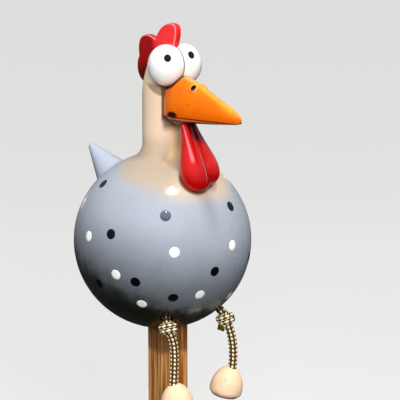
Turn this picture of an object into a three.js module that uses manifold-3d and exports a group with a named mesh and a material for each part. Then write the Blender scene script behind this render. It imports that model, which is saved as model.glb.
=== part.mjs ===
// A resin chicken garden statue on a square wooden stake, with braided cord legs and small dome-shaped feet.
// Millimetres, +Z up. The origin is the middle of the stake's bottom end. The chicken faces -Y, so its right is -X.
import * as THREE from 'three';
import { mergeVertices } from 'three/addons/utils/BufferGeometryUtils.js';
import Module from 'manifold-3d';

const wasm = await Module();
wasm.setup();

// Stake
const stakeSide = 25.5;
const stakeChamfer = 1.2;
const stakeBelowBody = 200;
const stakeInBody = 45;
const stakeTurn = THREE.MathUtils.degToRad(-8);
const stakeForward = 6.5; // the socket sits in front of the body's middle
const fitGap = 0.3; // between pieces that touch

// Body, neck and head, turned round one upright axis
const bodyRadius = 75;
const neckRadius = 16.6;
const neckFillet = 13;
const neckTop = 120; // above the body's middle, where the head starts to close
const crownRise = 39;
const bodyY = stakeForward;
const bodyZ = stakeBelowBody + bodyRadius;
const crownTop = neckTop + crownRise;
const rooting = 2; // how deep the tail and the stud reach into the body

// Eyes
const eyeRadius = 15.3;
const eyeTall = 17.1;
const eyeAside = 8.8;
const eyeForward = 17.9;
const eyeBelowCrown = 10.1;

// Beak: reach is measured forward from the neck's axis, heights from the line of the mouth
const mouthBelowCrown = 51;
const beakRoot = 15;
const beakReach = 103;
const beakWidth = 27;
const beakHeight = 32.5;
const jawDepth = 8;
const jawShort = 5; // how far the lower jaw stays behind the upper one
const jawInset = 1.1;
const nostrilWidth = 4.2;
const nostrilDepth = 3;
const mouthCornerWidth = 7;
const mouthCornerHeight = 3.2;
const mouthCornerDepth = 2.6;
const mouthCornerInset = 17.5; // forward of the beak's root
const nostrilReach = 51;
const nostrilApart = 13;
const nostrilAboveMouth = 25;

// Comb, a plate on the middle plane
const combThickness = 7;
const combBevel = 1.8;
const combDrawnFor = 39; // the crown's rise that its outline is drawn for

// Wattles
const wattleLengths = { right: 60.5, left: 55.5 };
const wattleRadius = 11.9;
const wattleLean = THREE.MathUtils.degToRad(20);
const wattleSpreads = { right: THREE.MathUtils.degToRad(2.5), left: THREE.MathUtils.degToRad(7) };
const wattleAside = 2;
const wattleRoot = 34.5; // forward of the neck's axis

// Tail, a cone that stands out from the back
const tailLength = 53;
const tailBase = 19;
const tailTip = 3.4;
const tailRaise = THREE.MathUtils.degToRad(32.6);

// Round stud on the chest
const studRadius = 4.4;
const studHeight = 1.9;
const studAside = THREE.MathUtils.degToRad(-34.5);
const studRaise = THREE.MathUtils.degToRad(26.5);

// Leg holes and cords. Each cord's points are its offsets from the middle of its hole's mouth.
const holeRadius = 5.8;
const holeDepth = 13;
const holeAside = THREE.MathUtils.degToRad(33.4);
const holeDrop = THREE.MathUtils.degToRad(48.4);
const cordDiameter = 7.4;
const cordSides = 8;
const knotRadius = 7.9;
const knotHeight = 11.4;
const knotGap = 0.5; // the cord bends a little inside its knot and its foot
const footWidth = 28;
const footHeight = 25.5;
const footBore = 9;
const footFall = 0.55; // how much lower the dome is at its rim than at its top, where a cord enters off its middle
const footTurn = THREE.MathUtils.degToRad(-36);
const legs = [
  {
    side: 'right',
    sign: -1,
    route: [
      [3.2, 4.8, 6.5], [1.5, 2.2, 3.1], [-0.3, -0.7, -0.6], [-1.2, -2.9, -3.8], [-1.3, -4.6, -6.9],
      [-0.9, -6.0, -10.1], [0.1, -7.3, -14.2], [1.1, -8.2, -19.4], [1.6, -8.5, -25.5], [1.7, -8.6, -32],
      [1.6, -8.5, -38.5], [1.4, -8.4, -45], [1.1, -8.2, -51], [0.8, -8, -57], [0.5, -7.8, -63],
    ],
    knotAt: 4,
    footTilt: THREE.MathUtils.degToRad(5),
    footAside: 3,
  },
  {
    side: 'left',
    sign: 1,
    route: [
      [-3.2, 4.8, 6.5], [-1.5, 2.2, 3.1], [0.5, -1.2, -0.8], [1.9, -3.9, -4.2], [3, -6, -8.2],
      [4, -7.5, -12.4], [5.2, -8.8, -17.4], [6.4, -9.7, -23], [7.2, -10.2, -29.2], [7.5, -10.5, -35.6],
      [7.5, -10.5, -42], [7.2, -10.2, -48], [6.7, -9.8, -53.6], [6.1, -9.3, -59.2],
    ],
    knotAt: 4,
    footTilt: THREE.MathUtils.degToRad(-12),
    footAside: -2,
  },
];

// A geometry as a closed solid: shared vertices merged, and the flat triangles at poles left out
function solid(geometry) {
  const bare = geometry.clone();
  bare.deleteAttribute('normal');
  bare.deleteAttribute('uv');
  const merged = mergeVertices(bare, 1e-4);
  const corners = [];
  for (let i = 0; i < merged.index.count; i += 3) {
    const [a, b, c] = [0, 1, 2].map((k) => merged.index.getX(i + k));
    if (a !== b && b !== c && c !== a) corners.push(a, b, c);
  }
  return new wasm.Manifold(new wasm.Mesh({
    numProp: 3,
    vertProperties: merged.attributes.position.array,
    triVerts: new Uint32Array(corners),
  }));
}

function geometryOf(manifold) {
  const mesh = manifold.getMesh();
  const geometry = new THREE.BufferGeometry();
  geometry.setAttribute('position', new THREE.BufferAttribute(mesh.vertProperties, 3));
  geometry.setIndex(new THREE.BufferAttribute(mesh.triVerts, 1));
  geometry.computeVertexNormals();
  return geometry;
}

// Turns a lathe or cylinder, made round Y, so that it stands along +Z
function upright(geometry) {
  return geometry.rotateX(Math.PI / 2);
}

// A solid turned round Z from [radius, height] points, lowest first
function turned(profile, sides) {
  return upright(new THREE.LatheGeometry(profile.map(([r, z]) => new THREE.Vector2(r, z)), sides));
}

// A unit cylinder whose every point is moved by place(share of the length, angle, share of the radius)
function lofted(sides, steps, place) {
  const geometry = new THREE.CylinderGeometry(1, 1, 1, sides, steps);
  const points = geometry.attributes.position;
  for (let i = 0; i < points.count; i += 1) {
    const [x, y, z] = [points.getX(i), points.getY(i), points.getZ(i)];
    points.setXYZ(i, ...place(0.5 - y, Math.atan2(z, x), Math.hypot(x, z)));
  }
  return geometry;
}

// The value at a share of the length, on a smooth line through stations of [share, value]
function along(stations) {
  const line = new THREE.SplineCurve(stations.map(([share, value]) => new THREE.Vector2(share, value)));
  const fine = line.getPoints(120);
  return (share) => {
    const next = Math.max(1, fine.findIndex((p) => p.x >= share));
    const [a, b] = [fine[next - 1], fine[next]];
    return a.y + (b.y - a.y) * THREE.MathUtils.clamp((share - a.x) / (b.x - a.x), 0, 1);
  };
}

// The point of a direction from the body's middle: aside is measured from straight ahead, raise from the level
function direction(aside, raise) {
  return new THREE.Vector3(
    Math.sin(aside) * Math.cos(raise),
    -Math.cos(aside) * Math.cos(raise),
    Math.sin(raise),
  );
}

// Moves a geometry that stands along +Z onto the body, with its foot at the given distance along the direction
function standOnBody(geometry, toward, distance) {
  const turn = new THREE.Quaternion().setFromUnitVectors(new THREE.Vector3(0, 0, 1), toward);
  return geometry.applyQuaternion(turn).translate(...toward.clone().multiplyScalar(distance).toArray());
}

// Body, neck and head in one profile: sphere, hollow fillet, straight neck, closed crown
function torso() {
  const filletX = neckRadius + neckFillet;
  const filletZ = Math.sqrt((bodyRadius + neckFillet) ** 2 - filletX ** 2);
  const meeting = Math.atan2(filletZ, filletX);
  const profile = [];
  const bodySteps = 17;
  for (let i = 0; i <= bodySteps; i += 1) {
    const angle = -Math.PI / 2 + (meeting + Math.PI / 2) * (i / bodySteps);
    profile.push([i === 0 ? 0 : bodyRadius * Math.cos(angle), bodyRadius * Math.sin(angle)]);
  }
  const filletSteps = 5;
  for (let i = 1; i <= filletSteps; i += 1) {
    const angle = Math.PI + meeting - meeting * (i / filletSteps);
    profile.push([filletX + neckFillet * Math.cos(angle), filletZ + neckFillet * Math.sin(angle)]);
  }
  const crownSteps = 7;
  for (let i = 0; i <= crownSteps; i += 1) {
    const angle = (Math.PI / 2) * (i / crownSteps);
    const radius = i === crownSteps ? 0 : neckRadius * Math.cos(angle);
    profile.push([radius, neckTop + crownRise * Math.sin(angle)]);
  }
  return turned(profile, 40);
}

function eye(sign) {
  const ball = new THREE.SphereGeometry(1, 22, 15).rotateX(Math.PI / 2).scale(eyeRadius, eyeRadius, eyeTall);
  return ball.translate(sign * eyeAside, -eyeForward, crownTop - eyeBelowCrown);
}

// Upper beak: round-shouldered above, flat below
function upperBeak() {
  const halfWidth = along([[0, 0.76], [0.13, 0.99], [0.3, 0.92], [0.58, 0.64], [0.84, 0.36], [0.96, 0.2], [1, 0.05]]);
  const ridge = along([[0, 1], [0.16, 1], [0.37, 0.87], [0.66, 0.57], [0.87, 0.36], [0.97, 0.2], [1, 0.08]]);
  const shoulder = 2 / 2.3;
  const mouthZ = crownTop - mouthBelowCrown;
  return lofted(22, 11, (share, angle, spread) => {
    const [across, up] = [Math.cos(angle), Math.sin(angle)];
    const wide = Math.sign(across) * Math.abs(across) ** shoulder;
    const tall = up > 0 ? up ** shoulder * beakHeight * ridge(share) : 1.2 * up * halfWidth(share);
    return [
      (spread * wide * beakWidth * halfWidth(share)) / 2,
      -(beakRoot + (beakReach - beakRoot) * share),
      mouthZ + spread * tall,
    ];
  });
}

// Lower jaw: a shallow boat under the upper beak, a little narrower and shorter
function lowerJaw() {
  const halfWidth = along([[0, 0.6], [0.12, 0.88], [0.3, 0.9], [0.58, 0.64], [0.84, 0.36], [0.96, 0.18], [1, 0.05]]);
  const depth = along([[0, 0.7], [0.16, 1], [0.36, 0.62], [0.7, 0.36], [1, 0.08]]);
  const mouthZ = crownTop - mouthBelowCrown;
  return lofted(14, 8, (share, angle, spread) => {
    const [across, up] = [Math.cos(angle), Math.sin(angle)];
    const half = Math.max(0.4, (beakWidth * halfWidth(share)) / 2 - jawInset);
    return [
      spread * across * half,
      -(beakRoot + (beakReach - jawShort - beakRoot) * share),
      mouthZ + spread * up * (up > 0 ? 1 : jawDepth * depth(share)),
    ];
  });
}

// Nostrils and mouth corners, as the balls that hollow them out
function beakHollows() {
  const mouthZ = crownTop - mouthBelowCrown;
  return [-1, 1].flatMap((sign) => [
    new THREE.SphereGeometry(1, 12, 8).scale(nostrilDepth, nostrilWidth / 2, nostrilDepth)
      .translate((sign * nostrilApart) / 2, -nostrilReach, mouthZ + nostrilAboveMouth),
    new THREE.SphereGeometry(1, 12, 8).scale(mouthCornerDepth, mouthCornerWidth / 2, mouthCornerHeight / 2)
      .translate((sign * beakWidth) / 2, -(beakRoot + mouthCornerInset), mouthZ + mouthCornerHeight / 2),
  ]);
}

// Comb: three lobes on the crown and down the back of the head, drawn back and up from the crown's foot
function comb() {
  const outline = new THREE.Shape();
  outline.moveTo(-19, 40);
  outline.bezierCurveTo(-22.5, 50, -25.6, 58.5, -20.6, 61.8);
  outline.bezierCurveTo(-13, 64.8, 0, 61, 5, 49);
  outline.bezierCurveTo(10, 51, 16, 53, 21, 51.5);
  outline.bezierCurveTo(29, 50, 30, 42, 28.5, 33.5);
  outline.bezierCurveTo(33, 29, 32, 17, 24, 13);
  outline.bezierCurveTo(20, 11, 14, 14, 8, 18);
  outline.lineTo(-8, 30);
  outline.closePath();
  const plate = new THREE.ExtrudeGeometry(outline, {
    depth: combThickness - 2 * combBevel,
    bevelEnabled: true,
    bevelThickness: combBevel,
    bevelSize: combBevel,
    bevelOffset: -combBevel,
    bevelSegments: 2,
    curveSegments: 5,
  });
  const scale = crownRise / combDrawnFor;
  plate.scale(scale, scale, 1).translate(0, 0, combBevel - combThickness / 2);
  return plate.rotateX(Math.PI / 2).rotateZ(Math.PI / 2).translate(0, 0, neckTop);
}

// Wattle: a drop that hangs from under the beak and lies on the chest
function wattle(sign, length, spread) {
  const drop = [
    [0, 0], [0.34, 0.04], [0.46, 0.17], [0.62, 0.33], [0.82, 0.5],
    [0.97, 0.66], [1, 0.77], [0.87, 0.89], [0.5, 0.97], [0, 1],
  ];
  const profile = new THREE.SplineCurve(drop.map(([r, s]) => new THREE.Vector2(
    r * wattleRadius,
    s * length,
  ))).getPoints(11).map((p) => new THREE.Vector2(Math.max(0, p.x), p.y));
  profile[0].x = 0;
  profile[profile.length - 1].x = 0;
  const shape = new THREE.LatheGeometry(profile, 18).rotateX(-Math.PI / 2);
  shape.rotateX(-wattleLean).rotateY(-sign * spread);
  return shape.translate(sign * wattleAside, -wattleRoot, crownTop - mouthBelowCrown - jawDepth / 2);
}

function tail() {
  const sink = bodyRadius - Math.sqrt(bodyRadius ** 2 - tailBase ** 2) + rooting;
  const slope = Math.atan2(tailBase - tailTip, tailLength);
  const profile = [[0, -sink], [tailBase, -sink], [tailBase, 0]];
  const tipZ = tailLength - tailTip;
  const tipSteps = 4;
  for (let i = 0; i <= tipSteps; i += 1) {
    const angle = slope + (Math.PI / 2 - slope) * (i / tipSteps);
    profile.push([i === tipSteps ? 0 : tailTip * Math.cos(angle), tipZ + tailTip * Math.sin(angle)]);
  }
  const cone = turned(profile, 18);
  return standOnBody(cone, direction(Math.PI, tailRaise), bodyRadius);
}

function stud() {
  const profile = [];
  const steps = 4;
  for (let i = 0; i <= steps; i += 1) {
    const angle = (Math.PI / 2) * (i / steps);
    profile.push([i === steps ? 0 : studRadius * Math.cos(angle), studHeight * Math.sin(angle)]);
  }
  const outline = [[0, -rooting], [studRadius, -rooting], ...profile];
  const dome = turned(outline, 16);
  return standOnBody(dome, direction(studAside, studRaise), bodyRadius);
}

// The middle of a leg hole's mouth, from the body's middle
function holeMouth(leg) {
  return direction(leg.sign * holeAside, -holeDrop).multiplyScalar(bodyRadius);
}

function legHole(leg) {
  const outside = 4;
  const bore = upright(new THREE.CylinderGeometry(holeRadius, holeRadius, holeDepth + outside, 20));
  const distance = bodyRadius + (outside - holeDepth) / 2;
  return standOnBody(bore, direction(leg.sign * holeAside, -holeDrop), distance);
}

// A square post with chamfered long edges, from the given bottom, standing on the origin's axis
function post(side, chamfer, bottom, top) {
  const half = side / 2;
  const cut = half - chamfer;
  const corners = [0, 1, 2, 3].flatMap((quarter) => [-cut, cut].map((across) => (
    new THREE.Vector2(half, across).rotateAround(new THREE.Vector2(), (Math.PI / 2) * quarter)
  )));
  const section = new THREE.Shape(corners);
  return new THREE.ExtrudeGeometry(section, { depth: top - bottom, bevelEnabled: false })
    .rotateZ(stakeTurn).translate(0, 0, bottom);
}

function chicken() {
  const added = [
    eye(-1), eye(1), upperBeak(), lowerJaw(), comb(), tail(), stud(),
    wattle(-1, wattleLengths.right, wattleSpreads.right),
    wattle(1, wattleLengths.left, wattleSpreads.left),
  ].map(solid);
  let casting = solid(torso());
  for (const piece of added) casting = casting.add(piece);
  for (const hollow of beakHollows()) casting = casting.subtract(solid(hollow));
  for (const leg of legs) casting = casting.subtract(solid(legHole(leg)));
  const socket = post(stakeSide + 2 * fitGap, stakeChamfer, -bodyZ, stakeInBody + fitGap - bodyRadius);
  return geometryOf(casting.subtract(solid(socket.translate(0, -stakeForward, 0))));
}

function route(leg) {
  const mouth = holeMouth(leg);
  const points = leg.route.map((offset) => new THREE.Vector3(...offset).add(mouth));
  return new THREE.CatmullRomCurve3(points);
}

function cord(leg) {
  const section = new THREE.Shape(Array.from({ length: cordSides }, (_, i) => {
    const angle = (2 * Math.PI * i) / cordSides;
    return new THREE.Vector2(Math.cos(angle), Math.sin(angle)).multiplyScalar(cordDiameter / 2);
  }));
  return new THREE.ExtrudeGeometry(section, { steps: 14, bevelEnabled: false, extrudePath: route(leg) });
}

// The knot as a rounded ring round its cord
function knot(leg) {
  const inner = cordDiameter / 2 + knotGap;
  const middle = (inner + knotRadius) / 2;
  const profile = [];
  const steps = 8;
  for (let i = 0; i <= steps; i += 1) {
    const angle = (2 * Math.PI * (i % steps)) / steps;
    profile.push(new THREE.Vector2(
      middle + ((knotRadius - inner) / 2) * Math.cos(angle),
      (knotHeight / 2) * Math.sin(angle),
    ));
  }
  const ring = upright(new THREE.LatheGeometry(profile, 14));
  const path = leg.route.map((offset) => new THREE.Vector3(...offset));
  const down = path[leg.knotAt + 1].clone().sub(path[leg.knotAt - 1]).normalize();
  ring.applyQuaternion(new THREE.Quaternion().setFromUnitVectors(new THREE.Vector3(0, 0, -1), down));
  return ring.translate(...holeMouth(leg).add(path[leg.knotAt]).toArray());
}

// A dome with a rounded lower edge and a bore for the end of its cord
function foot(leg) {
  const end = new THREE.Vector3(...leg.route.at(-1));
  const before = new THREE.Vector3(...leg.route.at(-3));
  const up = before.sub(end).normalize();
  const stations = [[0.78, 0], [0.97, 0.12], [1, 0.28], [0.9, 0.56], [0.62, 0.83], [0.3, 0.965], [0, 1]];
  const side = stations.map(([r, z]) => new THREE.Vector2((r * footWidth) / 2, z * footHeight));
  const profile = new THREE.SplineCurve(side).getPoints(8);
  profile[profile.length - 1].x = 0;
  profile.unshift(new THREE.Vector2(0, 0));
  const dome = turned(profile.map((p) => [p.x, p.y]), 20);
  const share = (2 * leg.footAside) / footWidth;
  const entry = footHeight * (1 - footFall * share * share);
  dome.translate(leg.footAside, 0, footBore - entry).rotateY(-leg.footTilt).rotateZ(footTurn);
  const boreRadius = cordDiameter / 2 + knotGap;
  const bore = upright(new THREE.CylinderGeometry(boreRadius, boreRadius, 2 * footBore, 16));
  const turn = new THREE.Quaternion().setFromUnitVectors(new THREE.Vector3(0, 0, 1), up);
  bore.translate(0, 0, footBore - fitGap).applyQuaternion(turn);
  return geometryOf(solid(dome).subtract(solid(bore))).translate(...holeMouth(leg).add(end).toArray());
}

const resin = new THREE.MeshStandardMaterial({ color: 0x9ba3b2, roughness: 0.22, metalness: 0 });
const timber = new THREE.MeshStandardMaterial({ color: 0xb07c45, roughness: 0.75, metalness: 0 });
const braid = new THREE.MeshStandardMaterial({ color: 0x8a7448, roughness: 0.85, metalness: 0 });
const clay = new THREE.MeshStandardMaterial({ color: 0xf0d2b0, roughness: 0.7, metalness: 0 });

function part(name, geometry, material) {
  const mesh = new THREE.Mesh(geometry, material.clone());
  mesh.name = name;
  return mesh;
}

const figure = new THREE.Group();
figure.position.set(0, bodyY, bodyZ);
figure.add(part('chicken', chicken(), resin));
for (const leg of legs) {
  figure.add(part(`leg_cord_${leg.side}`, cord(leg), braid));
  figure.add(part(`leg_knot_${leg.side}`, knot(leg), braid));
  figure.add(part(`foot_${leg.side}`, foot(leg), clay));
}

const statue = new THREE.Group();
statue.add(figure);
statue.add(part('stake', post(stakeSide, stakeChamfer, 0, stakeBelowBody + stakeInBody), timber));

export default statue;
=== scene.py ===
# A resin chicken garden statue on a square wooden stake, with braided cord legs and small dome-shaped feet.
# Metres, +Z up. The origin is the middle of the stake's bottom end. The chicken faces -Y, so its right is -X.
import math

import bmesh
import bpy
from mathutils import Matrix, Vector, geometry


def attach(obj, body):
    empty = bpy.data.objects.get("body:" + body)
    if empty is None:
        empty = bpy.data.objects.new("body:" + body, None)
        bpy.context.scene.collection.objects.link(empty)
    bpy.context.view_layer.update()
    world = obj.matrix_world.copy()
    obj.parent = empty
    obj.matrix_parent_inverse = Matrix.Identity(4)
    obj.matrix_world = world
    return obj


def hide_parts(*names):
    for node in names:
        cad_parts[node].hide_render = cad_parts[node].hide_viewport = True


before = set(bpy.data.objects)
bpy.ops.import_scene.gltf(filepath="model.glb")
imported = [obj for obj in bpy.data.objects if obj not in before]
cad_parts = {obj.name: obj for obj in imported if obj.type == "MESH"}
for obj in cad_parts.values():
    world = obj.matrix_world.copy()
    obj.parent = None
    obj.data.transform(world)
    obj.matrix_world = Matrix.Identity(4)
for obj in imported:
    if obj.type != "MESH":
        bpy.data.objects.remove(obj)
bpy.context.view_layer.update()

# Camera
# It looks down a little at the chicken's right front from 1.2 m away, with a long lens, and aims past the
# body to its upper right. Sizes here and below are in millimetres from the body's middle, and a mesh is
# turned into metres when it is finished.
MM = 0.001
body_middle = Vector((0, 6.5, 275))
to_metres = Matrix.Scale(MM, 4) @ Matrix.Translation(body_middle)
camera_distance = 1200
camera_aside = math.radians(-36.5)
camera_raise = math.radians(12)
camera_aim = Vector((0.6061, 0.7746, -0.1808))


def direction(aside, raised):
    """Where a turn aside from straight ahead and a raise from the level point to."""
    level = math.cos(raised)
    return Vector((math.sin(aside) * level, -math.cos(aside) * level, math.sin(raised)))


lens = bpy.data.cameras.new("camera")
lens.sensor_width = 36
lens.lens = 127.5
lens.clip_end = 60
camera = bpy.data.objects.new("camera", lens)
camera.location = to_metres @ (direction(camera_aside, camera_raise) * camera_distance)
camera.rotation_euler = camera_aim.to_track_quat("-Z", "Y").to_euler()
bpy.context.scene.collection.objects.link(camera)
bpy.context.scene.camera = camera


# Leg cords
# Two round cords, braided from dark brown and cream yarn, that hang from blind holes under the body.
# Each has one knot right below its hole and its end glued into a foot.
body_radius = 75
hole_aside = math.radians(33.4)
hole_drop = math.radians(48.4)
cord_diameter = 7.4
plaits = 6
braid_pitch = 3.5
braid_depth = 0.6
strand_dip = 0.6
leg_dot = (0.5, 0.72)
braid_sides = 96
ring_spacing = 0.32
right_offsets = [
    (3.2, 4.8, 6.5), (1.5, 2.2, 3.1), (-0.3, -0.7, -0.6), (-1.2, -2.9, -3.8), (-1.3, -4.6, -6.9),
    (-0.9, -6.0, -10.1), (0.1, -7.3, -14.2), (1.1, -8.2, -19.4), (1.6, -8.5, -25.5), (1.7, -8.6, -32),
    (1.6, -8.5, -38.5), (1.4, -8.4, -45), (1.1, -8.2, -51), (0.8, -8, -57), (0.5, -7.8, -63),
]
left_offsets = [
    (-3.2, 4.8, 6.5), (-1.5, 2.2, 3.1), (0.5, -1.2, -0.8), (1.9, -3.9, -4.2), (3, -6, -8.2),
    (4, -7.5, -12.4), (5.2, -8.8, -17.4), (6.4, -9.7, -23), (7.2, -10.2, -29.2), (7.5, -10.5, -35.6),
    (7.5, -10.5, -42), (7.2, -10.2, -48), (6.7, -9.8, -53.6), (6.1, -9.3, -59.2),
]


def smooth_line(points, steps=12):
    """A smooth line through the points, with the given steps from each to the next."""
    points = [Vector(p).to_3d() for p in points]
    line = [points[0]]
    for i in range(len(points) - 1):
        before = points[max(i - 1, 0)]
        after = points[min(i + 2, len(points) - 1)]
        near = points[i] + (points[i + 1] - before) / 6
        far = points[i + 1] - (after - points[i]) / 6
        line += geometry.interpolate_bezier(points[i], near, far, points[i + 1], steps + 1)[1:]
    return line


def evenly(line, spacing):
    """The same line with its points at one spacing, and its length."""
    reach = [0]
    for a, b in zip(line, line[1:]):
        reach.append(reach[-1] + (b - a).length)
    count = max(2, round(reach[-1] / spacing))
    spots = []
    k = 0
    for i in range(count + 1):
        goal = reach[-1] * i / count
        while k < len(line) - 2 and reach[k + 1] < goal:
            k += 1
        spots.append(line[k].lerp(line[k + 1], min(1, (goal - reach[k]) / (reach[k + 1] - reach[k]))))
    return spots, reach[-1]


def closed(bm):
    """The same mesh with its seam merged, its ends filled and its faces turned outwards."""
    bmesh.ops.remove_doubles(bm, verts=bm.verts, dist=1e-4)
    bmesh.ops.holes_fill(bm, edges=bm.edges, sides=0)
    bmesh.ops.recalc_face_normals(bm, faces=bm.faces)
    return bm


def finished(name, bm, *materials):
    """The piece of a mesh made in millimetres, in metres, smooth and in its place."""
    bm.transform(to_metres)
    mesh = bpy.data.meshes.new(name)
    bm.to_mesh(mesh)
    bm.free()
    mesh.shade_smooth()
    for material in materials:
        mesh.materials.append(material)
    piece = bpy.data.objects.new(name, mesh)
    bpy.context.scene.collection.objects.link(piece)
    return piece


def braid(turn, travel, dot):
    """How high a braid stands, from 0 in its gaps to 1 on a strand, and how far inside a cream dot it is.

    The dot's size is given as shares of a strand's width, round the cord and along it.
    """
    right_hand = plaits * turn + travel / braid_pitch
    left_hand = plaits * turn - travel / braid_pitch
    cream = (math.floor(right_hand) + math.floor(left_hand)) % 2
    across = (right_hand if cream else left_hand) % 1 - 0.5
    forward = (left_hand if cream else right_hand) % 1 - 0.5
    height = (1 - (2 * across) ** 2) * (1 - strand_dip * (2 * forward) ** 2)
    inside = 1 - ((across + forward) / dot[0]) ** 2 - ((across - forward) / dot[1]) ** 2
    return height, inside if cream else -1


def braided(name, line, material, diameter, dot, brown_end=0):
    """A braided cord along a line of evenly spaced points. Its last stretch may be all brown."""
    frames = []
    forward = (line[1] - line[0]).normalized()
    side = forward.orthogonal().normalized()
    for i, spot in enumerate(line):
        ahead = (line[min(i + 1, len(line) - 1)] - line[max(i - 1, 0)]).normalized()
        side = (side - ahead * side.dot(ahead)).normalized()
        frames.append((spot, side, ahead.cross(side)))
    last = len(line) - 1
    spacing = (line[1] - line[0]).length

    bm = bmesh.new()
    bmesh.ops.create_grid(bm, x_segments=braid_sides, y_segments=last, size=0.5)
    inside_dot = bm.verts.layers.float.new("inside_dot")
    for v in bm.verts:
        turn = v.co.x + 0.5
        i = round((v.co.y + 0.5) * last)
        height, inside = braid(turn, i * spacing, dot)
        v[inside_dot] = inside if (last - i) * spacing >= brown_end else -1
        spot, one, other = frames[i]
        radius = diameter / 2 - braid_depth * (1 - height)
        angle = 2 * math.pi * turn
        v.co = spot + (one * math.cos(angle) + other * math.sin(angle)) * radius
    return finished(name, closed(bm), material)


class Field:
    """A number or colour that varies over a surface. A sum of fields adds the nodes that it needs."""

    def __init__(self, finish, socket):
        self.finish = finish
        self.socket = socket

    def __add__(self, other):
        return self.finish.math("ADD", self, other)

    def __sub__(self, other):
        return self.finish.math("SUBTRACT", self, other)

    def __rsub__(self, other):
        return self.finish.math("SUBTRACT", other, self)

    def __mul__(self, other):
        return self.finish.math("MULTIPLY", self, other)

    def __truediv__(self, other):
        return self.finish.math("DIVIDE", self, other)

    def __abs__(self):
        return self.finish.math("ABSOLUTE", self)

    __radd__ = __add__
    __rmul__ = __mul__

    def wander(self, noise, reach):
        """The same field, moved up and down by the noise, which makes the edges of its paint uneven."""
        return self + (noise - 0.5) * reach


def titled(name):
    """The shader's own title of a value, such as Coat IOR for coat_ior."""
    return name.replace("_", " ").title().replace("Ior", "IOR")


class Finish:
    """One material: a single coated surface whose colour, gloss and relief are worked out from fields."""

    def __init__(self, name, **constants):
        self.material = bpy.data.materials.new(name)
        self.material.use_nodes = True
        self.tree = self.material.node_tree
        self.tree.nodes.clear()
        self.surface = self.tree.nodes.new("ShaderNodeBsdfPrincipled")
        for socket, value in constants.items():
            self.surface.inputs[titled(socket)].default_value = value
        output = self.tree.nodes.new("ShaderNodeOutputMaterial")
        self.tree.links.new(self.surface.outputs[0], output.inputs["Surface"])

    def add(self, kind, settings, inputs, output=0):
        """One node, with its settings made first and then the values or fields of its sockets."""
        node = self.tree.nodes.new(kind)
        for setting, value in settings.items():
            setattr(node, setting, value)
        for socket, value in inputs.items():
            if isinstance(value, Field):
                self.tree.links.new(value.socket, node.inputs[socket])
            else:
                node.inputs[socket].default_value = value
        return Field(self, node.outputs[output])

    def math(self, operation, *values):
        return self.add("ShaderNodeMath", {"operation": operation}, dict(enumerate(values)))

    def vectors(self, operation, *values, output=0):
        return self.add("ShaderNodeVectorMath", {"operation": operation}, dict(enumerate(values)), output)

    def place(self):
        """The place on the piece, in millimetres from the body's middle."""
        spot = self.add("ShaderNodeTexCoord", {}, {}, "Object")
        return self.vectors("MULTIPLY_ADD", spot, (1 / MM,) * 3, tuple(-body_middle))

    def stretched(self, spot, scale):
        return self.vectors("MULTIPLY", spot, scale)

    def distance(self, spot, point):
        return self.vectors("DISTANCE", spot, tuple(point), output="Value")

    def dot(self, spot, way):
        """How far a place lies along a direction."""
        return self.vectors("DOT_PRODUCT", spot, tuple(way), output="Value")

    def noise(self, spot, size, detail=3, rough=0.5):
        """Even noise from 0 to 1 whose lumps are about the given size."""
        inputs = {"Vector": spot, "Scale": 1 / size, "Detail": detail, "Roughness": rough}
        return self.add("ShaderNodeTexNoise", {}, inputs)

    def ramp(self, value, start, end, low=0.0, high=1.0):
        """A soft step from low to high as the value goes from start to end."""
        inputs = {"Value": value, 1: start, 2: end, 3: low, 4: high}
        return self.add("ShaderNodeMapRange", {"interpolation_type": "SMOOTHSTEP"}, inputs)

    def mix(self, share, one, other):
        """The first colour where the share is 0, and the other where it is 1."""
        return self.add("ShaderNodeMix", {"data_type": "RGBA"}, {0: share, 6: one, 7: other}, 2)

    def apply(self, relief=None, depth=0.0, **fields):
        """Joins fields to the surface. Relief is a height from 0 to 1 that stands for the depth in metres."""
        for socket, field in fields.items():
            self.tree.links.new(field.socket, self.surface.inputs[titled(socket)])
        if relief is not None:
            bump = self.add("ShaderNodeBump", {}, {"Height": relief, "Distance": depth})
            self.tree.links.new(bump.socket, self.surface.inputs["Normal"])


def tint(red, green, blue):
    """A colour as a screen shows it, from 0 to 255, as the linear values of a shader."""
    shares = [c / 255 for c in (red, green, blue)]
    return (*[s / 12.92 if s < 0.04045 else ((s + 0.055) / 1.055) ** 2.4 for s in shares], 1)


yarn = Finish("cord", roughness=0.85, specular_ior_level=0.25)
yarn_spot = yarn.place()
yarn_dot = yarn.add("ShaderNodeAttribute", {"attribute_name": "inside_dot"}, {}, "Fac")
yarn_fibre = yarn.noise(yarn_spot, 0.35, 2)
yarn_wear = yarn.noise(yarn_spot, 2.2, 2)
yarn_cream = yarn.ramp(yarn_dot.wander(yarn_fibre, 0.3).wander(yarn_wear, 0.6), -0.15, 0.25)
yarn_dark = yarn.mix(yarn.noise(yarn_spot, 5), tint(62, 40, 8), tint(104, 72, 22))
yarn_light = yarn.mix(yarn.noise(yarn_spot, 2.5), tint(255, 248, 226), tint(250, 234, 196))
yarn_colour = yarn.mix(yarn_cream, yarn_dark, yarn_light)
hole_mouths = {sign: direction(sign * hole_aside, -hole_drop) * body_radius for sign in (-1, 1)}
# Painted shade darkens the cord close to each hole, where it goes into the body.
for hole_mouth in hole_mouths.values():
    yarn_shade = yarn.ramp(yarn.distance(yarn_spot, hole_mouth), 6.5, 3.5)
    yarn_colour = yarn.mix(yarn_shade * 0.85, yarn_colour, tint(20, 14, 8))
yarn.apply(base_color=yarn_colour, relief=yarn_fibre, depth=0.0003)

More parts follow.
